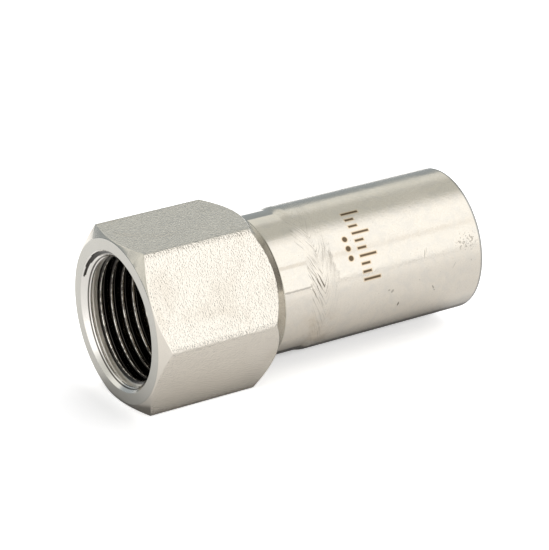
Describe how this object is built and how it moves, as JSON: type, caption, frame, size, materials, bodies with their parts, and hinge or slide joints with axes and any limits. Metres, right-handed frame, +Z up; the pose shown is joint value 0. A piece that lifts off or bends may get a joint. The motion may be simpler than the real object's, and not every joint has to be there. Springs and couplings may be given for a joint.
{
  "type": "press fitting adapter",
  "caption": "Stainless adapter: a hexagon body with a female half inch pipe thread, butt welded to a plain 22 mm tube end for a press socket.",
  "frame": {"origin": "centre of the threaded mouth's flat face", "axes": "+X along the bore from the threaded mouth to the plain end, +Z up, square to the hexagon's top flat"},
  "size_m": [0.0576, 0.0292, 0.0252],
  "materials": {
    "turned_steel": "turned and blasted stainless steel",
    "ground_weld": "weld ground flush with swirl marks",
    "tube_steel": "satin drawn stainless tube"
  },
  "bodies": {
    "root": {"threaded_body": "turned_steel", "weld_seam": "ground_weld", "tube_end": "tube_steel"}
  },
  "joints": []
}
